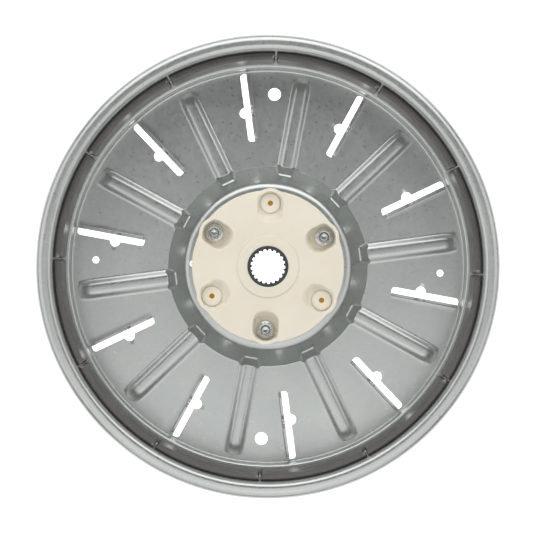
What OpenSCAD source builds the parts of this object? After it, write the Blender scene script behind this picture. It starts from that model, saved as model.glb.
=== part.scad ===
// Outer rotor of a direct-drive motor: a pressed steel cup with a ring of arc
// magnets on its wall, and a moulded hub with a splined steel bush, held to the
// raised middle of the cup by three bolts. Millimetres. The spin axis is Z, the
// open side of the cup is up, and Z = 0 is the underside of the floor.

/* [Pressed cup] */
// Outer diameter of the turned-down rim
rim_d = 298.4; // [297:0.2:302]
// Height from the underside of the floor to the crown of the rim
cup_h = 52; // [50:0.5:56]
// Thickness of the steel sheet
sheet_t = 1.6; // [1.4:0.1:1.8]
// Inner diameter of the wall behind the magnets
wall_d = 276.4; // [275.8:0.2:276.8]
// Inner diameter of the step between the floor and the magnets' seat
step_d = 261.6; // [260:0.2:262]
// Height of the seat that the magnets stand on
seat_h = 12; // [10:0.5:13]
// Depth of the skirt that hangs from the rim
skirt_h = 8; // [6:0.5:10]

/* [Raised middle] */
// Height of the flat top above the underside of the floor
plateau_h = 22; // [20:0.5:23]
// Diameter of the flat top
plateau_d = 101; // [100:0.5:102]
// Diameter of the cone where it meets the floor
cone_foot_d = 129.4; // [128:0.2:131]
// Radius of the rounded shoulder above the cone
shoulder_r = 6; // [5.5:0.5:6.5]
// Diameter of the opening for the hub's spigot
plateau_hole_d = 44; // [43.6:0.1:46]
// Diameter of the index hole beside the hub
index_hole_d = 4; // [3:0.1:5]

/* [Ribs] */
// Number of radial ribs, and of cooling slots between them
rib_count = 10; // [10:1:10]
// Angle of the first rib from X
rib_start = 9.6; // [9:0.1:10]
// Width of a rib at the floor
rib_w = 13.2; // [12:0.1:14]
// Width of a rib's flat top
rib_top_w = 2.4; // [2:0.1:4]
// Height of a rib above the floor
rib_h = 2.8; // [2.5:0.1:3.2]
// Radius at which a rib ends
rib_end_r = 127.5; // [125:0.5:128]
// Width of the small ledge on the cone above each rib
ledge_w = 10.6; // [9:0.1:11]
// Radius of the ledge's top edge
ledge_r = 62; // [61.5:0.1:63]
// Radius of the foot of the ledge's front, on the rib
ledge_foot_r = 66; // [65:0.1:67]
// Height of its top above the underside of the floor
ledge_top = 10.8; // [10:0.1:12]

/* [Cooling slots] */
// Width of a slot
slot_w = 4.2; // [3.8:0.1:4.6]
// Radius at which a slot starts
slot_in_r = 83.7; // [82:0.1:86]
// Radius at which a slot ends
slot_out_r = 128.8; // [126:0.1:129]
// Height of a slot's vane above the floor
vane_h = 5; // [4:0.1:6]
// Radius of the round notch halfway along a slot
notch_r = 3.5; // [3:0.1:4]
// Radius at which the notch sits
notch_at_r = 103; // [100:0.5:106]

/* [Holes in the floor] */
// Diameter of the circle that the four holes lie on
hole_circle_d = 229; // [228:0.5:230]
// Diameter of the two large holes
large_hole_d = 8.5; // [8:0.1:9]
// Diameter of the two small holes
small_hole_d = 4.6; // [4:0.1:5]

/* [Magnets] */
// Number of arc magnets
magnet_count = 12; // [12:1:12]
// Inner diameter of the ring of magnets
magnet_in_d = 266.4; // [266:0.1:267]
// Thickness of a magnet
magnet_t = 4.8; // [4.4:0.1:4.8]
// Height of a magnet
magnet_h = 32; // [28:0.5:33]
// Gap between neighbouring magnets
magnet_gap = 1; // [0.6:0.1:1.4]
// Chamfer on a magnet's inner upright edges
magnet_chamfer = 1.2; // [0.8:0.1:1.6]
// Chamfer along a magnet's outer edges, which clears the bend of the seat
magnet_edge = 1.3; // [1.2:0.1:1.6]

/* [Hub] */
// Diameter of the hub
hub_d = 98.6; // [98:0.1:99]
// Thickness of the hub above the cup's flat top
hub_h = 14; // [13:0.5:15]
// Thickness of the hub under the pockets that hold nuts
pocket_floor_h = 5; // [4:0.5:6]
// Thickness of the hub under the shallow pockets around the bosses
boss_floor_h = 9; // [8:0.5:10]
// Diameter of the circle that the pockets lie on
pocket_circle_d = 82.4; // [82:0.1:83]
// Width of a pocket
pocket_w = 17.2; // [17:0.1:17.6]
// Reach of a pocket from its fastener towards the spin axis
pocket_reach = 13; // [12:0.1:13.5]
// Radius of the lobe around each pocket's outer end
lobe_r = 9.7; // [9.5:0.1:10]
// Thickness of the wall that closes a pocket's outer end
pocket_wall = 1.3; // [1:0.1:1.5]
// Diameter of a moulded boss
boss_d = 12.6; // [12:0.1:13]
// Height of a moulded boss above its pocket's floor
boss_h = 1; // [0.5:0.5:2]
// Diameter of the blind hole in a boss
core_hole_d = 3.5; // [3:0.1:4]
// Diameter of the raised ring around the bush
ring_d = 40; // [38:0.5:42]
// Diameter of the spigot behind the hub
spigot_d = 43; // [42:0.1:43.4]
// Diameter of the three locating pegs behind the hub
peg_d = 9; // [8:0.1:10]

/* [Splined bush] */
// Outer diameter of the bush
bush_d = 26.5; // [26:0.1:27]
// Length of the bush
bush_l = 31; // [30:0.5:31]
// Number of spline teeth
tooth_count = 21; // [21:1:21]
// Diameter at the bottom of the tooth spaces
spline_root_d = 22.8; // [22.4:0.1:23]
// Diameter across the tips of the teeth
spline_tip_d = 20.8; // [20.4:0.1:21]

/* [Fasteners] */
// Thread diameter of the bolts
bolt_d = 5; // [5:0.1:5]
// Width across the flats of the nuts and the bolt heads
hex_af = 8; // [8:0.1:8]
// Diameter of the flange on the nuts and the bolt heads
flange_d = 12.2; // [11.8:0.1:12.4]
// Height of a nut with its flange
nut_h = 5; // [4.7:0.1:5]
// Height of a bolt head with its flange
head_h = 4.5; // [4:0.1:5]
// Length of bolt that stands out of the nut
bolt_end = 1.2; // [0.5:0.1:2]

/* [Hidden] */

$fn = 48;                                // facets of a circle, unless one says otherwise

half_t = sheet_t / 2;
floor_z = sheet_t;                       // inside face of the floor
ledge_sink = 0.2;                        // how far a ledge's foot lies under the rib's top
cone_slope = 59;                         // cone angle from the floor, degrees
fillet_r = 2;                            // bend radius at the middle of the sheet
step_bend_r = 1;                         // sharper bend at the inner edge of the seat
lip_r = 3.2;                             // bend radius from the wall to the rim's top
crown_r = 4.4;                           // bend radius from the rim's top to the skirt
vane_relief = 0.4;                       // gap between each end of a vane and its slot's end
vane_corner_r = 2.6;                     // radius of a vane's free corners
rib_step = 360 / rib_count;
rib_slope = (rib_w - rib_top_w) / 2;     // run of a rib's sloped sides and end
rib_angle = atan2(floor_z + rib_h - half_t, rib_slope);
slot_start = rib_start + rib_step / 2;
magnet_step = 360 / magnet_count;
pocket_r = pocket_circle_d / 2;
pocket_z = plateau_h + pocket_floor_h;   // floor of the nuts' pockets
hub_top = plateau_h + hub_h;
ring_h = 1;                              // height of the ring above the hub's face
ring_top = hub_top + ring_h;
bush_bottom = ring_top - bush_l;
peg_out = 2;                             // how far a peg stands out behind the sheet
peg_bottom = plateau_h - sheet_t - peg_out;
core_floor = 1.5;                        // plastic left under a boss's blind hole
hole_play = 0.2;                         // a hole's diameter over its bolt's or peg's
flange_t = 1.2;                          // thickness of the fasteners' flanges
tooth_mouth = 0.34;                      // half a tooth space at the tips, in pitches
tooth_bottom = 0.2;                      // half a tooth space at the root, in pitches
cut = 1;                                 // how far a cutter runs past a face

// Points of an arc from angle a to angle b around (x, y), ends included.
function arc(x, y, r, a, b, n = 5) =
    [for (i = [0 : n]) let (t = a + (b - a) * i / n) [x + r * cos(t), y + r * sin(t)]];

// Unit normal to the left of the line from p to q.
function normal(p, q) = let (d = q - p) [-d.y, d.x] / norm(d);

// The path's points moved to its left by w, with mitred corners.
function side(path, w) = let (n = len(path))
    [for (i = [0 : n - 1])
        let (before = normal(path[max(i - 1, 0)], path[max(i, 1)]),
             after = normal(path[min(i, n - 2)], path[min(i + 1, n - 1)]),
             m = before + after)
        path[i] + m * 2 * w / (m * m)];

function reversed(list) = [for (i = [len(list) - 1 : -1 : 0]) list[i]];

// The middle of the sheet, from the plateau's opening out to the skirt.
mid_floor = half_t;
mid_top = plateau_h - half_t;
mid_seat = seat_h - half_t;
shoulder_mid_r = shoulder_r - half_t;
shoulder_x = plateau_d / 2;
mid_crown = cup_h - half_t;
skirt_x = rim_d / 2 - half_t;
wall_x = wall_d / 2 + half_t;
step_x = step_d / 2 + half_t;
cup_path = concat(
    [[plateau_hole_d / 2, mid_top]],
    arc(shoulder_x, mid_top - shoulder_mid_r, shoulder_mid_r, 90, 90 - cone_slope),
    [[cone_foot_d / 2, mid_floor]],
    arc(step_x - fillet_r, mid_floor + fillet_r, fillet_r, 270, 360, 3),
    arc(step_x + step_bend_r, mid_seat - step_bend_r, step_bend_r, 180, 90, 3),
    arc(wall_x - fillet_r, mid_seat + fillet_r, fillet_r, 270, 360, 3),
    arc(wall_x + lip_r, mid_crown - lip_r, lip_r, 180, 90),
    arc(skirt_x - crown_r, mid_crown - crown_r, crown_r, 90, 0, 6),
    [[skirt_x, mid_crown - skirt_h]]);
cup_outline = concat(side(cup_path, half_t), reversed(side(cup_path, -half_t)));

// Copies its children to n places around Z, starting at an angle.
module around(n, start = 0) {
    for (i = [0 : n - 1]) rotate([0, 0, start + i * 360 / n]) children();
}

// Radius of the middle of the cone's sheet at height z.
function cone_x(z) = cone_foot_d / 2 - (z - half_t) / tan(cone_slope);

// A rib's cross-section carried along X and cut off by its side outline.
// Both are lists of points, across and up, or along and up.
module rib_form(section, outline) {
    intersection() {
        rotate([90, 0, 90]) linear_extrude(rim_d / 2) polygon(section);
        rotate([90, 0, 0])
            translate([0, 0, -rib_w]) linear_extrude(2 * rib_w) polygon(outline);
    }
}

// The outside of a pressed rib, from the cone's sheet to its sloped end.
module rib() {
    w = rib_w / 2;
    top_w = rib_top_w / 2;
    z = floor_z + rib_h;
    rib_form([[-w, 0], [-w, half_t], [-top_w, z], [top_w, z], [w, half_t], [w, 0]],
             [[cone_x(half_t), 0], [cone_x(half_t), half_t], [cone_x(z), z],
              [rib_end_r - rib_slope, z], [rib_end_r, half_t], [rib_end_r, 0]]);
}

// The hollow under a rib, which opens into the hollow under the cone. It leaves
// the sheet equally thick all over the rib.
module rib_hollow() {
    foot_in = sheet_t / sin(rib_angle);
    top_in = sheet_t * tan(rib_angle / 2);
    w = rib_w / 2 - foot_in;
    top_w = rib_top_w / 2 - top_in;
    z = floor_z + rib_h - sheet_t;
    end_r = rib_end_r - foot_in;
    rib_form([[-w, -cut], [-w, half_t], [-top_w, z], [top_w, z], [w, half_t], [w, -cut]],
             [[cone_x(z) - sheet_t, -cut], [cone_x(z) - sheet_t, z],
              [rib_end_r - rib_slope - top_in, z],
              [end_r, half_t], [end_r, -cut]]);
}

// The small ledge on the cone, whose front slopes down to the top of a rib.
module cone_ledge() {
    foot_z = floor_z + rib_h - ledge_sink;
    rotate([90, 0, 0])
        translate([0, 0, -ledge_w / 2])
            linear_extrude(ledge_w)
                polygon([[cone_x(foot_z), foot_z], [ledge_foot_r, foot_z],
                         [ledge_r, ledge_top], [cone_x(ledge_top), ledge_top]]);
}

// A slot along X, square on its vane's side and round on the other, and its notch.
module slot_cutter() {
    r = slot_w / 2;
    translate([0, 0, -cut])
        linear_extrude(sheet_t + 2 * cut) {
            translate([slot_in_r, -r])
                square([slot_out_r - slot_in_r, r]);
            translate([slot_in_r + r, -r])
                square([slot_out_r - slot_in_r - slot_w, slot_w]);
            for (x = [slot_in_r + r, slot_out_r - r])
                translate([x, 0])
                    circle(r = r);
            translate([notch_at_r, r])
                circle(r = notch_r);
        }
}

// The strip cut from a slot and bent up along its edge, with round corners.
module vane() {
    inner = slot_in_r + vane_relief;
    length = slot_out_r - slot_in_r - 2 * vane_relief;
    top = floor_z + vane_h;
    translate([inner, -slot_w / 2, 0])
        rotate([90, 0, 0])
            linear_extrude(sheet_t)
                difference() {
                    union() {
                        translate([0, half_t])
                            square([length, top - vane_corner_r - half_t]);
                        translate([vane_corner_r, half_t])
                            square([length - 2 * vane_corner_r, top - half_t]);
                        for (x = [vane_corner_r, length - vane_corner_r])
                            translate([x, top - vane_corner_r])
                                circle(r = vane_corner_r);
                    }
                    translate([notch_at_r - inner, top])
                        circle(r = notch_r);
                }
}

module rotor_cup() {
    color("silver")
    difference() {
        union() {
            rotate_extrude($fn = 180) polygon(cup_outline);
            around(rib_count, rib_start) rib();
            around(rib_count, rib_start) cone_ledge();
            around(rib_count, slot_start) vane();
        }
        around(rib_count, rib_start) rib_hollow();
        around(rib_count, slot_start) slot_cutter();
        around(2, 90)
            translate([hole_circle_d / 2, 0, -cut])
                cylinder(d = large_hole_d, h = sheet_t + 2 * cut);
        around(2, 0)
            translate([hole_circle_d / 2, 0, -cut])
                cylinder(d = small_hole_d, h = sheet_t + 2 * cut);
        rotate([0, 0, 180])
            translate([hub_d / 2, 0, plateau_h - sheet_t - cut])
                cylinder(d = index_hole_d, h = sheet_t + 2 * cut);
        around(3, 90)
            translate([pocket_r, 0, plateau_h - sheet_t - cut])
                cylinder(d = peg_d + hole_play, h = sheet_t + 2 * cut);
        around(3, 30)
            translate([pocket_r, 0, plateau_h - sheet_t - cut])
                cylinder(d = bolt_d + hole_play, h = sheet_t + 2 * cut);
    }
}

// The arc magnet that starts index steps around from X.
module magnet(index) {
    in_r = magnet_in_d / 2;
    out_r = in_r + magnet_t;
    half_gap = magnet_gap / 2;
    color("dimgray")
    rotate([0, 0, index * magnet_step])
    difference() {
        translate([0, 0, seat_h])
            rotate_extrude(angle = magnet_step, $fn = 180)
                polygon([[in_r, 0], [out_r - magnet_edge, 0], [out_r, magnet_edge],
                         [out_r, magnet_h - magnet_edge], [out_r - magnet_edge, magnet_h],
                         [in_r, magnet_h]]);
        for (end = [0, 1])
            rotate([0, 0, end * magnet_step])
                translate([in_r, 0, seat_h - cut]) {
                    translate([-cut, -half_gap, 0])
                        cube([magnet_t + 2 * cut, 2 * half_gap, magnet_h + 2 * cut]);
                    rotate([0, 0, 45])
                        translate([-magnet_chamfer, -magnet_chamfer, 0])
                            cube([2 * magnet_chamfer, 2 * magnet_chamfer, magnet_h + 2 * cut]);
                }
    }
}

// A pocket: a channel with a round inner end, closed outwards by a thin wall
// that follows the hub's edge and then the lobe. floor_h is what it leaves below.
module pocket_cutter(floor_h) {
    r = pocket_w / 2;
    inner = pocket_r - pocket_reach + r;
    translate([0, 0, plateau_h + floor_h]) {
        translate([inner, 0, 0]) cylinder(r = r, h = hub_h);
        intersection() {
            translate([inner, -r, 0]) cube([pocket_w, pocket_w, hub_h]);
            cylinder(r = hub_d / 2 - pocket_wall, h = hub_h, $fn = 120);
        }
        translate([pocket_r, 0, 0]) cylinder(r = lobe_r - pocket_wall, h = hub_h);
    }
}

module hub() {
    color("antiquewhite")
    difference() {
        union() {
            difference() {
                translate([0, 0, plateau_h]) linear_extrude(hub_h) {
                    circle(d = hub_d, $fn = 120);
                    around(6, 30) translate([pocket_r, 0]) circle(r = lobe_r);
                }
                around(3, 30) pocket_cutter(pocket_floor_h);
                around(3, 90) pocket_cutter(boss_floor_h);
            }
            around(3, 90)
                translate([pocket_r, 0, plateau_h])
                    cylinder(d = boss_d, h = boss_floor_h + boss_h);
            around(3, 90)
                translate([pocket_r, 0, peg_bottom])
                    cylinder(d = peg_d, h = plateau_h - peg_bottom + cut);
            translate([0, 0, bush_bottom])
                cylinder(d = spigot_d, h = plateau_h - bush_bottom + cut, $fn = 96);
            translate([0, 0, hub_top - cut])
                cylinder(d = ring_d, h = ring_top - hub_top + cut, $fn = 96);
        }
        translate([0, 0, bush_bottom - cut])
            cylinder(d = bush_d, h = bush_l + 2 * cut, $fn = 96);
        around(3, 90)
            translate([pocket_r, 0, peg_bottom + core_floor])
                cylinder(d = core_hole_d, h = 2 * hub_h);
        around(3, 30)
            translate([pocket_r, 0, plateau_h - cut])
                cylinder(d = bolt_d + hole_play, h = pocket_floor_h + 2 * cut);
    }
}

// Plan of one spline tooth space, from inside the tips out to the root.
module tooth_space() {
    pitch = PI * spline_tip_d / tooth_count;
    tip = spline_tip_d / 2;
    root = spline_root_d / 2;
    mouth_w = pitch * tooth_mouth;
    root_w = pitch * tooth_bottom;
    polygon([[tip - cut, -mouth_w], [tip, -mouth_w], [root, -root_w],
             [root, root_w], [tip, mouth_w], [tip - cut, mouth_w]]);
}

module spline_bush() {
    color("darkslategray")
    difference() {
        translate([0, 0, bush_bottom]) cylinder(d = bush_d, h = bush_l, $fn = 96);
        translate([0, 0, bush_bottom - cut])
            cylinder(d = spline_tip_d, h = bush_l + 2 * cut, $fn = 96);
        around(tooth_count)
            translate([0, 0, bush_bottom - cut])
                linear_extrude(bush_l + 2 * cut) tooth_space();
    }
}

module hexagon(h) {
    cylinder(d = hex_af / cos(30), h = h, $fn = 6);
}

module flange_bolts() {
    seat = plateau_h - sheet_t;
    color("lightgray")
    around(3, 30) translate([pocket_r, 0, 0]) {
        translate([0, 0, seat - head_h]) hexagon(head_h - flange_t / 2);
        translate([0, 0, seat - flange_t]) cylinder(d = flange_d, h = flange_t);
        translate([0, 0, seat - flange_t / 2])
            cylinder(d = bolt_d, h = pocket_z + nut_h + bolt_end - seat + flange_t / 2);
    }
}

module flange_nuts() {
    color("gainsboro")
    around(3, 30) translate([pocket_r, 0, pocket_z])
        difference() {
            union() {
                cylinder(d = flange_d, h = flange_t);
                hexagon(nut_h);
            }
            translate([0, 0, -cut]) cylinder(d = bolt_d, h = nut_h + 2 * cut);
        }
}

rotor_cup();
magnet(0);  // magnet_01
magnet(1);  // magnet_02
magnet(2);  // magnet_03
magnet(3);  // magnet_04
magnet(4);  // magnet_05
magnet(5);  // magnet_06
magnet(6);  // magnet_07
magnet(7);  // magnet_08
magnet(8);  // magnet_09
magnet(9);  // magnet_10
magnet(10);  // magnet_11
magnet(11);  // magnet_12
hub();
spline_bush();
flange_bolts();
flange_nuts();
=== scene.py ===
"""Outer rotor of a direct-drive motor, seen into its open side.

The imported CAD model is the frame. Every visible piece is built here around it: the
pressed cup as one bent sheet, the magnets with their adhesive, the moulded hub, the
splined bush and the fasteners. Mesh code works in millimetres, objects are in metres.
"""
import math

import bmesh
import bpy
import numpy as np
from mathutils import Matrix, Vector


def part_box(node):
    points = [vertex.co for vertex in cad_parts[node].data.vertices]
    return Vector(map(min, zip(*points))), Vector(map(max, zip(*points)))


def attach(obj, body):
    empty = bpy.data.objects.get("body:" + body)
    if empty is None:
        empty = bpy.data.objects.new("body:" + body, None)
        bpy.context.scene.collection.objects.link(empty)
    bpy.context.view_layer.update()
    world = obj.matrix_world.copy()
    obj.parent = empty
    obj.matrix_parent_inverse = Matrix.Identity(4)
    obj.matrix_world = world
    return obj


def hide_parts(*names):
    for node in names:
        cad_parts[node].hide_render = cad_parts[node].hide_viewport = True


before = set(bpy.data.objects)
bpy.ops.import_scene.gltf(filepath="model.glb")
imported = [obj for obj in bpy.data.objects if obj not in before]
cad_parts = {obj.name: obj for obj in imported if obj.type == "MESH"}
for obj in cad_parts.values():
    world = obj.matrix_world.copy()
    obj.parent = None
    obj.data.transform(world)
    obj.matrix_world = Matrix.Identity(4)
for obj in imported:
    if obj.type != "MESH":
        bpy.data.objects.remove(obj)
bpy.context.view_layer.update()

MM = 0.001
ROOT = "root"
RNG = np.random.default_rng(7)


def box_mm(node):
    """Lowest and highest corner of a CAD node, in millimetres."""
    low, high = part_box(node)
    return np.array(low) / MM, np.array(high) / MM


# ---------------------------------------------------------------- dimensions, mm

CUP_HIGH = box_mm("rotor_cup")[1]
HUB_LOW, HUB_HIGH = box_mm("hub")
BUSH_LOW, BUSH_HIGH = box_mm("spline_bush")
NUTS_LOW, NUTS_HIGH = box_mm("flange_nuts")
BOLTS_LOW, BOLTS_HIGH = box_mm("flange_bolts")
MAGNET_LOW, MAGNET_HIGH = box_mm("magnet_01")

SHEET = 1.6                     # thickness of the steel
HALF = SHEET / 2
RIM_R = CUP_HIGH[0]             # outside of the turned-down rim
CUP_TOP = CUP_HIGH[2]           # flat top of the rim
WALL_R = 138.2                  # inside of the wall
STEP_R = 130.8                  # inside of the step between floor and seat
SEAT_Z = 12.0                   # top of the magnets' seat
SKIRT = 8.0                     # drop of the rim's skirt
PLATEAU_Z = 22.0                # top of the raised middle
PLATEAU_R = 50.5
PLATEAU_HOLE_R = 22.0
FOOT_R = 64.7                   # middle of the cone's sheet at the floor
CONE_SLOPE = math.radians(59)
SHOULDER_BEND = 5.2
FILLET = 2.0
STEP_BEND = 1.0                 # sharper bend at the inner edge of the seat
PRESS_FILLET = 0.9              # width of the fillets at the feet of cone and ledges
LIP_BEND = 3.2                  # bend from the wall to the rim's flat top
CROWN_BEND = 4.4                # bend from its flat top down to the skirt

RIBS = 10
RIB_START = math.radians(9.6)
RIB_H = 2.2
RIB_TOP = 2.0                   # half the width of a rib's flat top
RIB_FOOT = 6.7                  # half the width of its foot
RIB_END_R = 127.5
LEDGE_TOP = 10.8                # small pressed ledge on the cone above each rib
LEDGE_R = 61.3                  # where the middle of its sheet starts down its front
LEDGE_HALF = 4.2
LEDGE_FRONT = 1.4               # slope of its front, and of its two sides
LEDGE_SIDE = 2.6

SLOT_HALF = 2.1                 # half the width of a slot
SLOT_IN_R = 83.7
SLOT_OUT_R = 128.8
NOTCH_R = 3.5
NOTCH_AT = 103.0
VANE_TOP = SHEET + 5.0
VANE_BEND = 1.7                 # bend radius at the middle of the sheet
VANE_CORNER = 2.6               # radius of a vane's free corners
VANE_AT = SLOT_HALF + HALF      # middle of a vane's sheet, clockwise of the slot's axis
HINGE_AT = VANE_AT + VANE_BEND  # where its bend leaves the floor
RELIEF = 0.4                    # gap between each end of a vane and the slot's end

HOLE_CIRCLE_R = 114.5
LARGE_HOLE_R = 4.25
SMALL_HOLE_R = 2.3
INDEX_HOLE_R = 2.0
INDEX_HOLE_AT = 49.3

MAGNETS = 12
MAGNET_IN_R = 133.2
MAGNET_T = 4.8
MAGNET_GAP = 1.0
MAGNET_EDGE = 0.45              # chamfer of the edges towards the stator
MAGNET_CORNER = 1.15            # worn corners between one magnet and the next
MAGNET_BACK = 1.3               # chamfer of the edges towards the wall

HUB_R = 49.3
LOBE_AT = 41.2                  # circle that the pockets and lobes lie on
LOBE_R = 9.7
LOBE_FILLET = 1.0               # width of the fillets between lobes and edge
POCKET_HALF = 8.6
POCKET_REACH = 13.0
POCKET_WALL = 1.3
POCKET_FLOOR = 27.0             # floor of the three pockets that hold nuts
BOSS_FLOOR = 31.0               # floor of the shallow ones around the bosses
BOSS_R = 6.3
BOSS_TOP = 32.0
BOSS_ROOT = 3.0                 # how far a boss goes on below the pocket's floor
BOSS_HIDES = 5.2                # inside this radius the boss hides the pocket's floor
CORE_R = 1.75                   # blind hole in a boss, whose floor carries a painted amber glow of light shining through the plastic
CORE_DEPTH = 3.2
CORE_DIP = 2.7                  # the shallow floor's drop there, clear of the cores
SIDE_RUN = 1.5                  # plan width of a pocket's side walls,
INNER_RUN = 4.8                 # of its sloped inner end
OUTER_RUN = 0.8                 # and of its outer wall
CORNER = 3.0                    # rounding where they meet, in the walls' own widths
RING_R = 20.0                   # raised ring around the bush
RING_H = 1.0
SPIGOT_R = 21.5
INNER_COLUMNS = 24.0            # radius whose columns the rows inside it share,
EDGE_COLUMNS = 46.0             # and the one for the rows at the hub's edge
SEAT_GAP = 0.02                 # between the hub or a bolt's head and the plateau
PEG_R = 4.5

BUSH_R = 13.25
TEETH = 21
SPLINE_ROOT_R = 11.4
SPLINE_TIP_R = 10.4

BOLT_R = 2.5
HEX_FLAT = 4.0                  # half the width across flats
NUT_FLANGE_R = 6.1

PUNCH_GAP = 0.1                 # between a peg or bolt and its hole in the plateau
ON_AXIS = 0.001                 # radius at which a turned solid's profile ends

# ---------------------------------------------------------------- small helpers


def smooth_step(x):
    """0 at x = 0 and below, 1 at x = 1 and above, level at both ends."""
    x = np.clip(x, 0.0, 1.0)
    return x * x * (3.0 - 2.0 * x)


def smooth_max(a, b, k):
    """The larger of two heights, with a fillet about k wide where they meet."""
    h = np.clip(0.5 + 0.5 * (a - b) / k, 0.0, 1.0)
    return a * h + b * (1.0 - h) + k * h * (1.0 - h)


def arc(x, z, r, start, end, n):
    """n + 1 points of an arc around (x, z), angles in degrees."""
    return [(x + r * math.cos(math.radians(a)), z + r * math.sin(math.radians(a)))
            for a in np.linspace(start, end, n + 1)]


def polar(r, angle):
    return r * np.cos(angle), r * np.sin(angle)


def new_object(name, mesh):
    obj = bpy.data.objects.new(name, mesh)
    bpy.context.scene.collection.objects.link(obj)
    return obj


def mesh_from(name, points, faces):
    """A mesh of points in millimetres, its doubles merged and its normals outward."""
    mesh = bpy.data.meshes.new(name)
    mesh.from_pydata((np.asarray(points, float) * MM).tolist(), [], faces)
    bm = bmesh.new()
    bm.from_mesh(mesh)
    bmesh.ops.remove_doubles(bm, verts=bm.verts, dist=1e-7)
    bmesh.ops.recalc_face_normals(bm, faces=bm.faces)
    bm.to_mesh(mesh)
    bm.free()
    return mesh


def soften(mesh, angle=35):
    """Smooth shading, except over edges sharper than an angle in degrees."""
    mesh.shade_smooth()
    mesh.set_sharp_from_angle(angle=math.radians(angle))


def ring_faces(n_rows, n_cols, first=0, closed=False):
    """Faces of rows of n_cols points each, joined around; closed joins last to first."""
    faces = []
    for i in range(n_rows if closed else n_rows - 1):
        a, b = i * n_cols, ((i + 1) % n_rows) * n_cols
        for j in range(n_cols):
            k = (j + 1) % n_cols
            faces.append((first + a + j, first + a + k, first + b + k, first + b + j))
    return faces


def turned(profile, n_cols, centre=(0.0, 0.0), closed=False):
    """Points and faces of a profile of (r, z) turned around a vertical axis.

    r may be a number or an array with a value for each of the n_cols angles.
    """
    angle = np.arange(n_cols) * 2 * math.pi / n_cols
    rows = []
    for r, z in profile:
        x, y = polar(np.broadcast_to(r, n_cols), angle)
        rows.append(np.stack([x + centre[0], y + centre[1], np.broadcast_to(z, n_cols)], 1))
    return np.concatenate(rows), ring_faces(len(rows), n_cols, closed=closed)


def joined(parts):
    """One list of points and faces from several."""
    points, faces, first = [], [], 0
    for part_points, part_faces in parts:
        points.append(part_points)
        faces += [tuple(first + i for i in face) for face in part_faces]
        first += len(part_points)
    return np.concatenate(points), faces


def finished(obj, slot, material, *nodes):
    """Gives a piece its material, and hides the CAD nodes it stands for. The slot argument is not
    used.
    """
    obj.data.materials.clear()
    obj.data.materials.append(material)
    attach(obj, ROOT)
    if nodes:
        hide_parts(*nodes)


def bevel_edges(obj, width, segments, angle):
    """Adds a bevel of a width in mm to edges sharper than an angle in degrees."""
    bevel = obj.modifiers.new("edges", "BEVEL")
    bevel.width = width * MM
    bevel.segments = segments
    bevel.limit_method = "ANGLE"
    bevel.angle_limit = math.radians(angle)


def apply_modifiers(obj):
    """Replaces the object's mesh by what its modifiers make of it."""
    graph = bpy.context.evaluated_depsgraph_get()
    mesh = bpy.data.meshes.new_from_object(obj.evaluated_get(graph), depsgraph=graph)
    old = obj.data
    obj.modifiers.clear()
    obj.data = mesh
    bpy.data.meshes.remove(old)


def lobe_places(first):
    """Three places on the pockets' circle, 120 degrees apart from an angle in degrees."""
    return [polar(LOBE_AT, math.radians(first + 120 * i)) for i in range(3)]


# ---------------------------------------------------------------- pressed cup


def cone_height(r):
    """Middle of the sheet over the raised middle and down its cone, without the floor."""
    bend_end = PLATEAU_R + SHOULDER_BEND * math.sin(CONE_SLOPE)
    bend_drop = SHOULDER_BEND * (1 - math.cos(CONE_SLOPE))
    top = PLATEAU_Z - HALF
    on_bend = np.clip(r - PLATEAU_R, 0, SHOULDER_BEND * math.sin(CONE_SLOPE))
    bend = top - SHOULDER_BEND + np.sqrt(SHOULDER_BEND ** 2 - on_bend ** 2)
    line = top - bend_drop - (r - bend_end) * math.tan(CONE_SLOPE)
    return np.where(r < bend_end, bend, line)


def rib_offset(angle):
    """Angle from the nearest rib's axis."""
    step = 2 * math.pi / RIBS
    return (angle - RIB_START + step / 2) % step - step / 2


def pressed_height(r, angle):
    """Middle of the sheet inside the step: floor, ribs, cone, ledges and plateau."""
    off = rib_offset(angle)
    along, across = r * np.cos(off), r * np.sin(off)
    from_rib = np.hypot(np.maximum(along - (RIB_END_R - RIB_FOOT), 0), across)
    rib = RIB_H * smooth_step((RIB_FOOT - from_rib) / (RIB_FOOT - RIB_TOP))
    height = smooth_max(cone_height(r), HALF + rib, PRESS_FILLET)
    ledge = LEDGE_TOP - HALF - np.hypot(LEDGE_FRONT * np.maximum(along - LEDGE_R, 0),
                                        LEDGE_SIDE * np.maximum(np.abs(across) - LEDGE_HALF, 0))
    return smooth_max(height, ledge, PRESS_FILLET)


def slot_edges(r):
    """Half widths of a slot's opening at radius r: its vane's side, its other side."""
    into = np.minimum(r - SLOT_IN_R, SLOT_OUT_R - r)
    if into <= 0:
        return 0.0, 0.0
    vane_side = HINGE_AT if into >= RELIEF else SLOT_HALF
    round_end = math.sqrt(max(SLOT_HALF ** 2 - max(SLOT_HALF - into, 0) ** 2, 0))
    bulge = math.sqrt(max(NOTCH_R ** 2 - (r - NOTCH_AT) ** 2, 0))
    return vane_side, round_end + bulge


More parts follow.
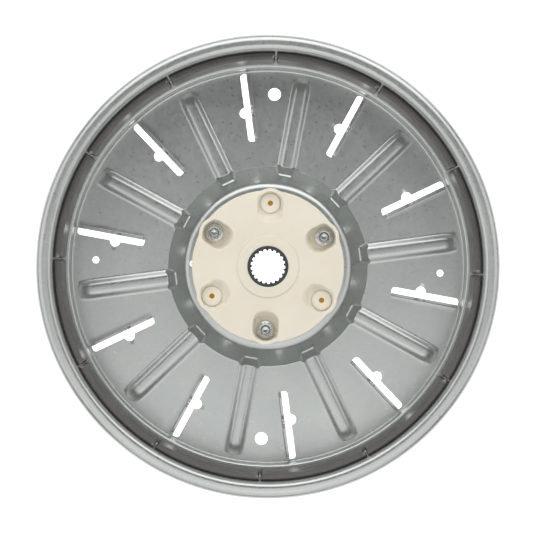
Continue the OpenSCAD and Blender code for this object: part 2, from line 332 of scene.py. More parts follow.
def floor_rows():
    """Radii of the rows of points over the pressed area, dense where edges are round."""
    quarter = 1 - np.cos(np.radians([25, 45, 67, 90]))
    end = np.concatenate([[0, 0.01, RELIEF - 0.01, RELIEF], SLOT_HALF * quarter,
                          RELIEF + VANE_CORNER * quarter])
    notch = NOTCH_AT + NOTCH_R * np.sin(np.radians([-90, -70, -50, -30, -10, 10, 30, 50, 70, 90]))
    plain = [PLATEAU_HOLE_R, 26, 31, 35.5, 38, 41.2, 44.3, 46.5, 48.5, 49.7]
    shoulder = np.linspace(PLATEAU_R, 55.5, 8)
    cone = np.arange(56.2, 70.5, 0.6)
    middle = [72, 74.5, 78, 81, 82.8, 89, 92.5, 96, 98.2, 107.8, 110.5, 113, 115.5, 118, 121]
    last = STEP_R + HALF - FILLET
    return np.unique(np.round(np.concatenate(
        [plain, shoulder, cone, middle, SLOT_IN_R + end, SLOT_OUT_R - end, notch, [last]]), 4))


def cup_columns(r):
    """Angles of the points of one row, and the place of each slot's two edges in it."""
    step = math.pi / RIBS
    base = max(r, FOOT_R)
    rib_side = np.arcsin(np.array([0, 1.4, 2.5, 3.1, 3.8, 4.6, 5.4, 6.1, 6.7, 7.5]) / base)
    clockwise, other = slot_edges(r)
    to_edge = step - math.asin(clockwise / base)
    from_edge = step + math.asin(other / base)
    fill = np.linspace(0, 1, 9)[1:]
    first = np.concatenate([rib_side, rib_side[-1] + (to_edge - rib_side[-1]) * fill])
    back = 2 * step - rib_side[::-1][:-1]
    second = np.concatenate([from_edge + (back[0] - from_edge) * (fill - fill[0]) / (1 - fill[0]),
                             back[1:]])
    sector = np.concatenate([first, second])
    edge = len(first) - 1
    starts = RIB_START + 2 * step * np.arange(RIBS)
    return (starts[:, None] + sector[None, :]).ravel(), edge, len(sector)


def rim_rows():
    """(r, z) of the rows outside the floor: step, seat, wall and turned-down rim."""
    seat, wall, step = SEAT_Z - HALF, WALL_R + HALF, STEP_R + HALF
    skirt, rim_top = RIM_R - HALF, CUP_TOP - HALF
    rows = arc(step - FILLET, HALF + FILLET, FILLET, 270, 360, 5)[1:]
    rows += arc(step + STEP_BEND, seat - STEP_BEND, STEP_BEND, 180, 90, 5)
    rows += arc(wall - FILLET, seat + FILLET, FILLET, 270, 360, 5)
    rows += [(wall, 20), (wall, 32), (wall, 42)]
    rows += arc(wall + LIP_BEND, rim_top - LIP_BEND, LIP_BEND, 180, 90, 10)
    rows += arc(skirt - CROWN_BEND, rim_top - CROWN_BEND, CROWN_BEND, 90, 0, 12)
    rows += [(skirt, rim_top - (CROWN_BEND + SKIRT) / 2), (skirt, rim_top - SKIRT)]
    return rows


def vane_points(along):
    """Offsets from the slot's axis and heights of a vane's points, from its bend up."""
    bend = np.radians(np.linspace(0, 90, 7)[1:])
    offset = -HINGE_AT + VANE_BEND * np.sin(bend)
    height = HALF + VANE_BEND * (1 - np.cos(bend))
    into = min(along - SLOT_IN_R, SLOT_OUT_R - along) - RELIEF
    short = min(max(VANE_CORNER - into, 0), VANE_CORNER)
    corner = VANE_CORNER - math.sqrt(VANE_CORNER ** 2 - short ** 2)
    notch = math.sqrt(max(NOTCH_R ** 2 - (along - NOTCH_AT) ** 2, 0))
    top = VANE_TOP - max(corner, notch)
    up = height[-1] + (top - height[-1]) * np.array([0.33, 0.66, 1.0])
    return np.concatenate([offset, np.full(3, -VANE_AT)]), np.concatenate([height, up])


def punch(bm, x, y, radius, sides=40):
    """Cuts a round hole through the sheet's mesh and fills around it again."""

    def within(vert, reach):
        return math.hypot(vert.co.x / MM - x, vert.co.y / MM - y) < reach

    near = [f for f in bm.faces
            if any(within(v, radius + 0.35) for v in f.verts)
            and f.calc_center_median().z / MM < PLATEAU_Z]
    level = sum(v.co.z for f in near for v in f.verts) / sum(len(f.verts) for f in near)
    on_plateau = math.hypot(x, y) < PLATEAU_R
    bmesh.ops.delete(bm, geom=near, context="FACES")
    loose = [v for v in bm.verts if not v.link_faces]
    bmesh.ops.delete(bm, geom=loose, context="VERTS")
    around = [e for e in bm.edges if e.is_boundary and all(within(v, radius + 6) for v in e.verts)]
    ring = []
    for a in np.arange(sides) * 2 * math.pi / sides:
        px, py = x + radius * math.cos(a), y + radius * math.sin(a)
        z = level
        if on_plateau:
            z = float(cone_height(np.array(math.hypot(px, py)))) * MM
        ring.append(bm.verts.new((px * MM, py * MM, z)))
    circle = [bm.edges.new((ring[i], ring[(i + 1) % sides])) for i in range(sides)]
    bmesh.ops.triangle_fill(bm, edges=around + circle, use_beauty=True)


def cup_grid():
    """Points of all rows from the plateau's hole to the end of the skirt, and faces."""
    points, faces = [], []
    for r in floor_rows():
        angle = cup_columns(r)[0]
        points.append(np.stack([*polar(r, angle), pressed_height(r, angle)], 1))
    angle, edge, width = cup_columns(STEP_R)
    n_cols = len(angle)
    for r, z in rim_rows():
        points.append(np.stack([*polar(r, angle), np.full(n_cols, z)], 1))
    for i in range(len(points) - 1):
        for j in range(n_cols):
            if j % width == edge:
                continue                      # between a slot's two edges
            k = (j + 1) % n_cols
            a, b = i * n_cols, (i + 1) * n_cols
            faces.append((a + j, a + k, b + k, b + j))
    return np.concatenate(points), faces


def vanes(grid):
    """Points and faces of the vanes, each bent up from one edge of its slot."""
    rows = floor_rows()
    angle, edge, width = cup_columns(STEP_R)
    hinge = [i for i, r in enumerate(rows) if slot_edges(r)[0] == HINGE_AT]
    slot_step = 2 * math.pi / RIBS
    first = len(grid)
    points, faces = [], []
    for s in range(RIBS):
        turn = RIB_START + slot_step / 2 + s * slot_step
        cosine, sine = math.cos(turn), math.sin(turn)
        strip = []
        for i in hinge:
            at = i * len(angle) + s * width + edge
            along = grid[at][0] * cosine + grid[at][1] * sine
            offset, height = vane_points(rows[i])
            points.append(np.stack([along * cosine - offset * sine,
                                    along * sine + offset * cosine, height], 1))
            strip.append([at, *range(first, first + len(offset))])
            first += len(offset)
        for row_a, row_b in zip(strip, strip[1:]):
            faces += [(row_a[k], row_b[k], row_b[k + 1], row_a[k + 1])
                      for k in range(len(row_a) - 1)]
    return np.concatenate(points), faces


def punch_holes(mesh):
    """The holes of the floor, and those of the plateau for index, pegs and bolts."""
    bm = bmesh.new()
    bm.from_mesh(mesh)
    for sign in (1, -1):
        punch(bm, 0.0, sign * HOLE_CIRCLE_R, LARGE_HOLE_R)
        punch(bm, sign * HOLE_CIRCLE_R, 0.0, SMALL_HOLE_R)
    punch(bm, -INDEX_HOLE_AT, 0.0, INDEX_HOLE_R)
    for peg, bolt in zip(lobe_places(90), lobe_places(30)):
        punch(bm, *peg, PEG_R + PUNCH_GAP)
        punch(bm, *bolt, BOLT_R + PUNCH_GAP)
    bmesh.ops.recalc_face_normals(bm, faces=bm.faces)
    bm.to_mesh(mesh)
    bm.free()


def rotor_cup(material):
    """The pressed cup: the middle of its sheet, punched and then given its thickness."""
    grid, faces = cup_grid()
    vane_grid, vane_faces = vanes(grid)
    mesh = mesh_from("rotor_cup_sheet", np.concatenate([grid, vane_grid]), faces + vane_faces)
    punch_holes(mesh)
    obj = new_object("rotor_cup_sheet", mesh)
    thick = obj.modifiers.new("sheet", "SOLIDIFY")
    thick.thickness = SHEET * MM
    thick.offset = 0.0
    thick.use_even_offset = True
    bevel_edges(obj, 0.1, 1, 50)
    apply_modifiers(obj)
    soften(obj.data, 40)
    finished(obj, "galvanised_steel", material, "rotor_cup")


# ---------------------------------------------------------------- magnets


def magnet_section():
    """(r, z) of a magnet's section, its corners towards stator and wall chamfered."""
    low, high = MAGNET_LOW[2], MAGNET_HIGH[2]
    out_r = MAGNET_IN_R + MAGNET_T
    front, back = MAGNET_IN_R + MAGNET_EDGE, out_r - MAGNET_BACK
    return [(front, low), (back, low), (out_r, low + MAGNET_BACK),
            (out_r, high - MAGNET_BACK), (back, high), (front, high),
            (MAGNET_IN_R, high - MAGNET_EDGE), (MAGNET_IN_R, low + MAGNET_EDGE)]


def magnet_start(r):
    """Angle from the middle of a gap to the magnet's end, at radius r."""
    worn = 0.0
    if r < MAGNET_IN_R + 0.2:
        worn = MAGNET_CORNER
    elif r < MAGNET_IN_R + 1:
        worn = MAGNET_CORNER - MAGNET_EDGE
    return (MAGNET_GAP / 2 + worn) / r


def magnet(index, material):
    """One arc magnet with ground faces, small chamfers and worn corners."""
    span = 2 * math.pi / MAGNETS
    section = magnet_section()
    cols, n = 25, len(section)
    points = []
    for t in np.arange(cols) / (cols - 1):
        for r, z in section:
            start = magnet_start(r)
            angle = index * span + start + (span - 2 * start) * t
            points.append((*polar(r, angle), z))
    faces = [(j * n + i, j * n + (i + 1) % n, (j + 1) * n + (i + 1) % n, (j + 1) * n + i)
             for j in range(cols - 1) for i in range(n)]
    faces += [tuple(range(n)), tuple((cols - 1) * n + i for i in reversed(range(n)))]
    mesh = mesh_from(f"magnet_block_{index + 1:02d}", points, faces)
    obj = new_object(mesh.name, mesh)
    bevel_edges(obj, 0.18, 2, 25)
    apply_modifiers(obj)
    soften(obj.data, 30)
    finished(obj, "ferrite", material, f"magnet_{index + 1:02d}")


def adhesive_dabs(material):
    """Pale smears of adhesive that squeezed out beside the gaps, on the magnets' tops."""
    around = np.arange(20) * 2 * math.pi / 20
    top = MAGNET_HIGH[2]
    parts = []
    for gap in range(MAGNETS):
        side = RNG.choice((-1, 1))
        for _ in range(RNG.integers(1, 3)):
            size, beside, r = RNG.uniform((0.5, 1.2, 134.6), (1.1, 2.4, 136.4))
            outline = size * (1 + 0.3 * np.sin(2 * around + RNG.uniform(0, 6))
                              + 0.15 * np.sin(3 * around + RNG.uniform(0, 6)))
            centre = polar(r, gap * 2 * math.pi / MAGNETS + side * beside / r)
            cap = [(ON_AXIS, top - 0.05), (outline, top - 0.05), (outline, top + 0.06),
                   (outline * 0.8, top + 0.17), (outline * 0.4, top + 0.24), (ON_AXIS, top + 0.26)]
            parts.append(turned(cap, 20, centre, closed=True))
    obj = new_object("adhesive_dabs", mesh_from("adhesive_dabs", *joined(parts)))
    soften(obj.data, 60)
    finished(obj, "ferrite", material)


# ---------------------------------------------------------------- hub


def hub_outline(angle):
    """Radius of the hub's edge, with a lobe around each pocket."""
    step = math.pi / 3
    off = (angle - math.pi / 6 + step / 2) % step - step / 2
    across = LOBE_AT * np.sin(off)
    lobe = LOBE_AT * np.cos(off) + np.sqrt(np.maximum(LOBE_R ** 2 - across ** 2, 0))
    lobe = np.where(np.abs(across) < LOBE_R, lobe, 0.0)
    return smooth_max(lobe, HUB_R, LOBE_FILLET)


def hub_height(r, angle):
    """Height of the hub's moulded face: centre ring, flat disc and pockets."""
    top = HUB_HIGH[2] - RING_H
    step = math.pi / 3
    turn = angle - math.pi / 6 + step / 2
    off = turn % step - step / 2
    floor = np.where(np.floor(turn / step) % 2 == 0, POCKET_FLOOR, BOSS_FLOOR)
    along, across = r * np.cos(off), r * np.sin(off)
    from_boss = np.hypot(along - LOBE_AT, across)
    under = smooth_step((BOSS_HIDES - from_boss) / (BOSS_HIDES - CORE_R - 1.0))
    floor = floor - np.where(floor == BOSS_FLOOR, CORE_DIP * under, 0.0)
    back = np.minimum(along - (LOBE_AT - POCKET_REACH + POCKET_HALF), 0)
    ahead = np.maximum(along - LOBE_AT, 0)
    from_axis = np.hypot(back + ahead, across)
    sloped = SIDE_RUN + (INNER_RUN - SIDE_RUN) * (back / np.maximum(from_axis, 0.01)) ** 2
    inside = (POCKET_HALF - from_axis) / sloped
    from_edge = (hub_outline(angle) - POCKET_WALL - r) / OUTER_RUN
    corner = np.hypot(np.maximum(CORNER - inside, 0), np.maximum(CORNER - from_edge, 0))
    pocket = floor + (top - floor) * (1 - smooth_step(CORNER - corner))
    return pocket + RING_H * smooth_step(RING_R + 0.5 - r)


def hub_columns(r):
    """Angles of one row: lines parallel to each pocket's axis, then an even spread."""
    step = math.pi / 3
    side = np.array([0, 1.4, 2.8, 4.1, 5.3, 6.3, 7.1, 7.5, 7.9, 8.3, 8.6, 8.9, 9.5])
    near = np.arcsin(side / max(r, INNER_COLUMNS))
    spread = near[-1] + (step / 2 - near[-1]) * np.linspace(0, 1, 9)[1:]
    half = np.concatenate([near, spread])
    sector = np.concatenate([half, step - half[::-1][1:-1]])
    starts = math.pi / 6 + step * np.arange(6)
    return (starts[:, None] + sector[None, :]).ravel()


def hub_row(r, z, columns_at):
    """One row of points, at the angles of the columns of the radius columns_at."""
    angle = hub_columns(columns_at)
    x, y = polar(np.broadcast_to(r, angle.shape), angle)
    return np.stack([x, y, np.broadcast_to(z, angle.shape)], 1)


def hub_body():
    """Points and faces of the hub's disc: bush seat, face, edge, underside and spigot."""
    bottom, top = HUB_LOW[2], HUB_HIGH[2] - RING_H
    under = PLATEAU_Z + SEAT_GAP
    rows = [hub_row(r, z, INNER_COLUMNS)
            for r, z in [(BUSH_R, bottom + 0.4), (BUSH_R, top + 0.7), (BUSH_R + 0.3, top + RING_H)]]
    for r in np.concatenate([np.arange(14.5, 19.4, 1.2), np.linspace(RING_R - 0.5, RING_R + 0.5, 5),
                             np.arange(21.2, 46.2, 0.75)]):
        rows.append(hub_row(r, hub_height(r, hub_columns(r)), r))
    angle = hub_columns(EDGE_COLUMNS)
    edge = hub_outline(angle)
    for inset in (3.0, 2.6, 2.25, 2.0, 1.8, 1.62, 1.45, 1.3, 0.95, 0.6):
        r = np.maximum(edge - inset, EDGE_COLUMNS + (3.0 - inset) * 0.05)
        rows.append(hub_row(r, hub_height(r, angle), EDGE_COLUMNS))
    for inset, drop in ((0.34, 0.05), (0.15, 0.17), (0.04, 0.34), (0.0, 0.6), (0.0, 3.0)):
        rows.append(hub_row(edge - inset, top - drop, EDGE_COLUMNS))
    rows.append(hub_row(edge, under, EDGE_COLUMNS))
    for r, z in [(PLATEAU_HOLE_R + 1.5, under), (SPIGOT_R, under), (SPIGOT_R, bottom + 0.8),
                 (SPIGOT_R - 0.8, bottom), (BUSH_R + 0.4, bottom)]:
        rows.append(hub_row(r, z, INNER_COLUMNS))
    return np.concatenate(rows), ring_faces(len(rows), len(angle), closed=True)


def boss_profile():
    """(r, z) of a round boss with a blind hole in its top."""
    root = BOSS_FLOOR - BOSS_ROOT
    return [(ON_AXIS, root), (BOSS_R + 0.5, root),
            (BOSS_R + 0.5, BOSS_FLOOR), (BOSS_R + 0.2, BOSS_FLOOR + 0.12),
            (BOSS_R + 0.05, BOSS_FLOOR + 0.4), (BOSS_R - 0.05, BOSS_TOP - 0.35),
            (BOSS_R - 0.2, BOSS_TOP - 0.1), (BOSS_R - 0.5, BOSS_TOP),
            (CORE_R + 0.9, BOSS_TOP), (CORE_R + 0.25, BOSS_TOP - 0.05),
            (CORE_R, BOSS_TOP - 0.3), (CORE_R - 0.1, BOSS_TOP - CORE_DEPTH),
            (ON_AXIS, BOSS_TOP - CORE_DEPTH)]


def peg_profile():
    """(r, z) of a locating peg, from its free end up into the hub."""
    end = HUB_LOW[2] + 12.3
    return [(ON_AXIS, end), (PEG_R - 0.6, end + 0.1), (PEG_R, end + 0.7),
            (PEG_R, PLATEAU_Z + 1.0), (ON_AXIS, PLATEAU_Z + 1.0)]


def core_profile():
    """(r, z) of the slightly domed floor in a boss's hole, which carries a painted amber glow."""
    return [(ON_AXIS, BOSS_TOP - 2.2), (CORE_R * 0.6, BOSS_TOP - 2.15),
            (CORE_R - 0.05, BOSS_TOP - 1.9), (CORE_R - 0.05, BOSS_TOP - 3.1),
            (ON_AXIS, BOSS_TOP - 3.1)]


def hub(material):
    """The moulded hub with its bosses and locating pegs."""
    parts = [hub_body()]
    for centre in lobe_places(90):
        parts.append(turned(boss_profile(), 56, centre, closed=True))
        parts.append(turned(peg_profile(), 40, centre, closed=True))
    mesh = mesh_from("hub_moulding", *joined(parts))
    soften(mesh, 50)
    finished(new_object("hub_moulding", mesh), "hub_plastic", material, "hub")


def painted_glow_floors(material):
    """Floors in the holes of the three bosses, with a painted amber glow of light shining through
    the thin plastic.
    """
    for number, centre in enumerate(lobe_places(90), 1):
        name = f"painted_glow_floor_{number}"
        mesh = mesh_from(name, *turned(core_profile(), 32, centre, closed=True))
        soften(mesh, 50)
        finished(new_object(name, mesh), "hub_plastic", material)


# ---------------------------------------------------------------- bush and fasteners


def spline_bush(material):
    """The steel bush, with spline teeth along its bore."""
    low, high = BUSH_LOW[2], BUSH_HIGH[2]
    per_tooth = 12
    n_cols = TEETH * per_tooth
    phase = (np.arange(n_cols) % per_tooth) / per_tooth
    wave = np.abs(phase - 0.5) * 2                      # 1 at a space's middle, 0 on a tip
    space = smooth_step((wave - 0.3) / 0.26)
    inner = SPLINE_TIP_R + (SPLINE_ROOT_R - SPLINE_TIP_R) * space
    relief = np.maximum(inner, SPLINE_TIP_R + 0.5)
    profile = [(BUSH_R, low + 0.5), (BUSH_R, high - 0.4), (BUSH_R - 0.35, high - 0.05),
               (SPLINE_ROOT_R + 0.35, high - 0.05), (relief, high - 0.15), (inner, high - 0.8),
               (inner, low + 0.8), (relief, low), (SPLINE_ROOT_R + 0.4, low),
               (BUSH_R - 0.5, low)]
    mesh = mesh_from("bush_steel_spline", *turned(profile, n_cols, closed=True))
    obj = new_object("bush_steel_spline", mesh)
    soften(mesh, 35)
    finished(obj, "bush_steel", material, "spline_bush")


def hex_radius(n_cols, turn):
    """Radius of a hexagon at each of n_cols angles."""
    angle = np.arange(n_cols) * 2 * math.pi / n_cols + turn
    off = (angle + math.pi / 6) % (math.pi / 3) - math.pi / 6
    return HEX_FLAT / np.cos(off)


def flange_nuts(material):
    """Three hexagon nuts, each with a round flange below it."""
    low, high = NUTS_LOW[2], NUTS_HIGH[2]
    parts = []
    for i, centre in enumerate(lobe_places(30)):
        hexagon = hex_radius(60, 0.3 + 1.1 * i)
        rows = [(BOLT_R - 0.05, low + 0.3), (BOLT_R + 0.4, low), (NUT_FLANGE_R - 0.3, low),
                (NUT_FLANGE_R, low + 0.2), (NUT_FLANGE_R, low + 0.7),
                (NUT_FLANGE_R - 0.12, low + 0.85), (NUT_FLANGE_R - 0.35, low + 0.95),
                (np.maximum(hexagon + 0.3, 4.8), low + 1.25), (hexagon, low + 1.5),
                (np.minimum(hexagon, 4.62), high - 0.75), (np.minimum(hexagon, 4.3), high - 0.42),
                (np.minimum(hexagon, 3.98), high - 0.12), (3.85, high), (3.5, high),
                (3.3, high - 0.1), (BOLT_R - 0.05, high - 0.8)]
        parts.append(turned(rows, 60, centre, closed=True))
    mesh = mesh_from("zinc_flange_nuts", *joined(parts))
    obj = new_object("zinc_flange_nuts", mesh)
    soften(mesh, 28)
    finished(obj, "zinc_steel", material, "flange_nuts")


def flange_bolts(material):
    """Three bolts: flanged heads under the plateau, and threads above the pockets' floor."""
    low, high = BOLTS_LOW[2], BOLTS_HIGH[2]
    under_plate = PLATEAU_Z - SHEET
    pitch = 0.8
    parts = []
    for i, centre in enumerate(lobe_places(30)):
        hexagon = hex_radius(60, 0.9 + 0.7 * i)
        head = [(ON_AXIS, low + 0.35), (2.2, low + 0.35), (2.6, low + 0.05), (3.4, low),
                (np.minimum(hexagon, 3.95), low + 0.1), (np.minimum(hexagon, 4.35), low + 0.4),
                (np.minimum(hexagon, 4.62), low + 0.8), (hexagon, under_plate - 1.9),
                (np.minimum(hexagon + 0.4, 5.0), under_plate - 1.6),
                (NUT_FLANGE_R - 0.2, under_plate - 1.1), (NUT_FLANGE_R, under_plate - 0.85),
                (NUT_FLANGE_R, under_plate - SEAT_GAP), (BOLT_R, under_plate - SEAT_GAP)]
        thread_from = POCKET_FLOOR + 2.5
        for z in np.arange(thread_from, high - 0.9, pitch):
            head += [(BOLT_R - 0.42, z), (BOLT_R - 0.03, z + 0.34), (BOLT_R - 0.03, z + 0.46)]
        head += [(BOLT_R - 0.42, high - 0.75), (BOLT_R - 0.35, high - 0.35), (BOLT_R - 0.6, high),
                 (1.2, high), (0.9, high - 0.12), (ON_AXIS, high - 0.15)]
        parts.append(turned(head, 60, centre, closed=True))
    mesh = mesh_from("zinc_hub_bolts", *joined(parts))
    obj = new_object("zinc_hub_bolts", mesh)
    soften(mesh, 28)
    finished(obj, "zinc_steel", material, "flange_bolts")


# ---------------------------------------------------------------- materials


def new_material(name, **values):
    """A material with a Principled shader whose sockets take these values."""
    mat = bpy.data.materials.new(name)
    mat.use_nodes = True
    shader = mat.node_tree.nodes["Principled BSDF"]
    for socket, value in values.items():
        shader.inputs[socket.replace("_", " ")].default_value = value
    return mat, mat.node_tree, shader


def add_node(tree, kind, **values):
    """A new node, with these values in its sockets or its settings."""
    node = tree.nodes.new(kind)
    for key, value in values.items():
        if key in node.inputs:
            node.inputs[key].default_value = value
        else:
            setattr(node, key, value)
    return node


def object_coordinates(tree, scale=(1, 1, 1)):
    """The object's own coordinates in metres, scaled along each axis."""
    coordinates = add_node(tree, "ShaderNodeTexCoord")
    mapping = add_node(tree, "ShaderNodeMapping")
    mapping.inputs["Scale"].default_value = scale
    tree.links.new(coordinates.outputs["Object"], mapping.inputs["Vector"])
    return mapping.outputs["Vector"]


def noise(tree, vector, scale, detail=4.0, roughness=0.55):
    node = add_node(tree, "ShaderNodeTexNoise", Scale=scale, Detail=detail, Roughness=roughness)
    tree.links.new(vector, node.inputs["Vector"])
    return node.outputs["Fac"]


def ramp(tree, source, *stops):
    """A colour ramp with (position, colour) stops."""
    node = add_node(tree, "ShaderNodeValToRGB")
    elements = node.color_ramp.elements
    while len(elements) < len(stops):
        elements.new(0.5)
    for element, (position, colour) in zip(elements, stops):
        element.position = position
        element.color = (*colour, 1.0)
    tree.links.new(source, node.inputs["Fac"])
    return node.outputs["Color"]


def spread(tree, source, low, high):
    """Maps 0.3 to 0.7 of a noise to the range from low to high."""
    node = add_node(tree, "ShaderNodeMapRange")
    node.inputs["From Min"].default_value = 0.3
    node.inputs["From Max"].default_value = 0.7
    node.inputs["To Min"].default_value = low
    node.inputs["To Max"].default_value = high
    tree.links.new(source, node.inputs["Value"])
    return node.outputs["Result"]


def bump(tree, source, shader, strength, distance):
    node = add_node(tree, "ShaderNodeBump")
    node.inputs["Strength"].default_value = strength
    node.inputs["Distance"].default_value = distance
    tree.links.new(source, node.inputs["Height"])
    tree.links.new(node.outputs["Normal"], shader.inputs["Normal"])


def mixed(tree, a, b, factor):
    """Two colours mixed, with a share of b that is the same everywhere."""
    node = add_node(tree, "ShaderNodeMix", data_type="RGBA")
    node.inputs[0].default_value = factor
    tree.links.new(a, node.inputs[6])
    tree.links.new(b, node.inputs[7])
    return node.outputs[2]


def galvanised_steel():
    mat, tree, shader = new_material("galvanised_sheet", Metallic=0.85, Roughness=0.4)
    grain = noise(tree, object_coordinates(tree, (1, 0.03, 1)), 2600.0, 3.0)
    cloud = noise(tree, object_coordinates(tree), 26.0, 5.0)
    mottle = noise(tree, object_coordinates(tree), 420.0, 4.0)
    base = ramp(tree, cloud, (0.3, (0.50, 0.53, 0.52)), (0.7, (0.60, 0.63, 0.61)))
    fine = ramp(tree, mottle, (0.3, (0.50, 0.52, 0.51)), (0.7, (0.62, 0.64, 0.62)))
    colour = mixed(tree, base, fine, 0.4)
    tree.links.new(colour, shader.inputs["Base Color"])
    tree.links.new(spread(tree, mottle, 0.27, 0.36), shader.inputs["Roughness"])
    bump(tree, grain, shader, 0.05, 0.00008)
    return mat


def ferrite():
    mat, tree, shader = new_material("ground_ferrite", Roughness=0.4, Specular_IOR_Level=0.9)
    vector = object_coordinates(tree, (1, 1, 0.08))
    lines = noise(tree, vector, 900.0, 3.0)
    cloud = noise(tree, object_coordinates(tree), 60.0, 4.0)
    base = ramp(tree, cloud, (0.3, (0.075, 0.068, 0.066)), (0.7, (0.115, 0.104, 0.100)))
    streak = ramp(tree, lines, (0.35, (0.07, 0.064, 0.062)), (0.75, (0.14, 0.128, 0.122)))
    tree.links.new(mixed(tree, base, streak, 0.45), shader.inputs["Base Color"])
    tree.links.new(spread(tree, cloud, 0.3, 0.42), shader.inputs["Roughness"])
    bump(tree, lines, shader, 0.2, 0.0001)
    return mat


def adhesive():
    mat, tree, shader = new_material("pale_adhesive", Roughness=0.45)
    cloud = noise(tree, object_coordinates(tree), 700.0, 3.0)
    colour = ramp(tree, cloud, (0.35, (0.17, 0.155, 0.14)), (0.65, (0.36, 0.34, 0.31)))
    tree.links.new(colour, shader.inputs["Base Color"])
    return mat


def hub_plastic():
    mat, tree, shader = new_material("cream_moulding", Roughness=0.45)
    cloud = noise(tree, object_coordinates(tree), 35.0, 3.0)
    grain = noise(tree, object_coordinates(tree), 1500.0, 3.0)
    colour = ramp(tree, cloud, (0.3, (0.84, 0.78, 0.66)), (0.7, (0.88, 0.825, 0.71)))
    tree.links.new(colour, shader.inputs["Base Color"])
    tree.links.new(spread(tree, grain, 0.38, 0.52), shader.inputs["Roughness"])
    bump(tree, grain, shader, 0.1, 0.00008)
    shader.inputs["Subsurface Weight"].default_value = 0.6
    shader.inputs["Subsurface Radius"].default_value = (1.0, 0.8, 0.6)
    shader.inputs["Subsurface Scale"].default_value = 0.0015
    return mat


# Painted glow: the amber colour and its faint emission stand in for light shining through the thin
# plastic at the floor of a boss's hole.
def painted_glow_core():
    mat, tree, shader = new_material("painted_amber_glow", Roughness=0.5)
    cloud = noise(tree, object_coordinates(tree), 500.0, 2.0)
    colour = ramp(tree, cloud, (0.3, (0.30, 0.135, 0.003)), (0.7, (0.42, 0.20, 0.006)))
    tree.links.new(colour, shader.inputs["Base Color"])
    tree.links.new(colour, shader.inputs["Emission Color"])
    shader.inputs["Emission Strength"].default_value = 0.35
    return mat


def bush_steel():
    mat, tree, shader = new_material("dark_sintered_steel", Metallic=0.6, Roughness=0.5)
    grain = noise(tree, object_coordinates(tree), 900.0, 4.0)
    colour = ramp(tree, grain, (0.3, (0.045, 0.05, 0.05)), (0.7, (0.09, 0.10, 0.10)))
    tree.links.new(colour, shader.inputs["Base Color"])
    tree.links.new(spread(tree, grain, 0.42, 0.6), shader.inputs["Roughness"])
    bump(tree, grain, shader, 0.25, 0.0001)
    return mat


def zinc_steel():
    mat, tree, shader = new_material("bright_zinc_plate", Metallic=1.0, Roughness=0.25)
    grain = noise(tree, object_coordinates(tree), 1200.0, 4.0)
    colour = ramp(tree, grain, (0.3, (0.60, 0.62, 0.62)), (0.7, (0.72, 0.73, 0.73)))
    tree.links.new(colour, shader.inputs["Base Color"])
    tree.links.new(spread(tree, grain, 0.18, 0.34), shader.inputs["Roughness"])
    bump(tree, grain, shader, 0.04, 0.00005)
    return mat


# ---------------------------------------------------------------- stage


# Name, azimuth (0 is +X) and elevation in degrees, distance in m, size in m, watts.
SOFT_LIGHTS = [("overhead_south", 270, 76, 2.4, (1.6, 1.15), 7.3),
               ("north", 90, 39, 1.1, (1.8, 0.8), 8.6),
               ("south", 270, 40, 1.5, (2.2, 1.3), 8.2),
               ("east", 0, 40, 1.5, (1.6, 1.3), 5.8),
               ("west", 180, 40, 1.5, (1.6, 1.3), 6.6)]
HORIZON = 0.2                   # radiance of the studio around the rotor,
ZENITH = 0.03                   # and straight above it
TABLE_NEAR = 1.0                # of the lit table under the rotor,
TABLE_FAR = 0.55                # and well away from it
TABLE_Z = -100                  # height of the table, mm


def lit_table():
    """A white table that gives off light, most of it near the rotor."""
    n = 96
    angle = np.arange(n) * 2 * math.pi / n
    ring = np.stack([*polar(3000, angle), np.full(n, TABLE_Z)], 1)
    mesh = mesh_from("lit_table", ring, [tuple(range(n))])
    mat, tree, shader = new_material("lit_table", Roughness=0.9)
    shader.inputs["Base Color"].default_value = (0.85, 0.85, 0.85, 1.0)
    shader.inputs["Emission Color"].default_value = (1.0, 1.0, 1.0, 1.0)
    away = add_node(tree, "ShaderNodeVectorMath", operation="LENGTH")
    tree.links.new(object_coordinates(tree), away.inputs[0])
    glow = add_node(tree, "ShaderNodeMapRange")
    for socket, value in (("From Min", 0.3), ("From Max", 0.6),
                          ("To Min", TABLE_NEAR), ("To Max", TABLE_FAR)):
        glow.inputs[socket].default_value = value
    tree.links.new(away.outputs["Value"], glow.inputs["Value"])
    tree.links.new(glow.outputs["Result"], shader.inputs["Emission Strength"])
    mesh.materials.append(mat)
    new_object("lit_table", mesh)


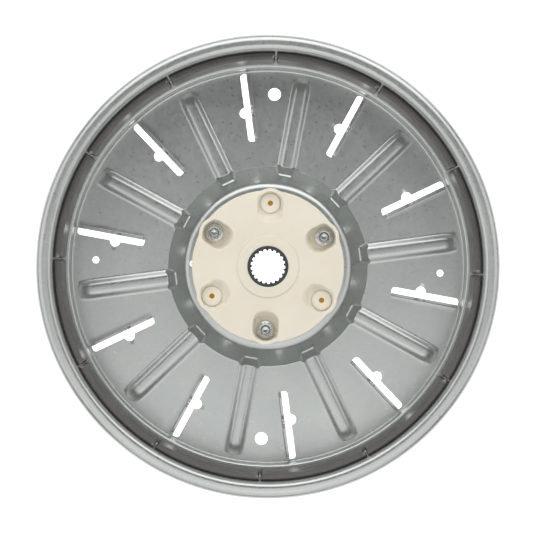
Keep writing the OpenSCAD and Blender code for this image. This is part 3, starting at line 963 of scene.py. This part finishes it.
def soft_light(name, azimuth, elevation, distance, size, power):
    """An area light aimed at the rotor from an azimuth and elevation."""
    light = bpy.data.lights.new(name, "AREA")
    light.shape = "RECTANGLE"
    light.size, light.size_y = size
    light.energy = power
    lamp = bpy.data.objects.new(name, light)
    lamp.visible_camera = False
    bpy.context.scene.collection.objects.link(lamp)
    a, e = math.radians(azimuth), math.radians(elevation)
    lamp.location = (distance * math.cos(e) * math.cos(a),
                     distance * math.cos(e) * math.sin(a), distance * math.sin(e))
    lamp.rotation_euler = (math.pi / 2 - e, 0, a + math.pi / 2)


def studio_world():
    """Soft light from all around, brighter at the horizon than straight above."""
    world = bpy.data.worlds.new("studio")
    bpy.context.scene.world = world
    world.use_nodes = True
    tree = world.node_tree
    direction = add_node(tree, "ShaderNodeTexCoord")
    parts = add_node(tree, "ShaderNodeSeparateXYZ")
    tree.links.new(direction.outputs["Generated"], parts.inputs["Vector"])
    colour = ramp(tree, parts.outputs["Z"], (0.0, (HORIZON,) * 3), (1.0, (ZENITH,) * 3))
    tree.links.new(colour, tree.nodes["Background"].inputs["Color"])


def stage():
    """Table, lights and surroundings."""
    lit_table()
    for light in SOFT_LIGHTS:
        soft_light(*light)
    studio_world()


def camera():
    """Looks straight down from 1.25 m above the rim, a little turned and shifted."""
    distance = 1.25
    data = bpy.data.cameras.new("camera")
    data.lens = 132.1
    data.sensor_width = 36.0
    data.shift_x = -0.0027
    data.shift_y = 0.0
    data.clip_start, data.clip_end = 0.05, 20.0
    obj = bpy.data.objects.new("camera", data)
    bpy.context.scene.collection.objects.link(obj)
    obj.location = (0.0, 0.0, CUP_TOP * MM + distance)
    obj.rotation_euler = (0.0, 0.0, math.radians(2.2))
    bpy.context.scene.camera = obj


# ---------------------------------------------------------------- the scene

rotor_cup(galvanised_steel())
ferrite_finish = ferrite()
for number in range(MAGNETS):
    magnet(number, ferrite_finish)
adhesive_dabs(adhesive())
hub_finish, painted_glow_finish = hub_plastic(), painted_glow_core()
hub(hub_finish)
painted_glow_floors(painted_glow_finish)
spline_bush(bush_steel())
zinc_finish = zinc_steel()
flange_nuts(zinc_finish)
flange_bolts(zinc_finish)

stage()
camera()
bpy.context.scene.view_settings.view_transform = "Standard"
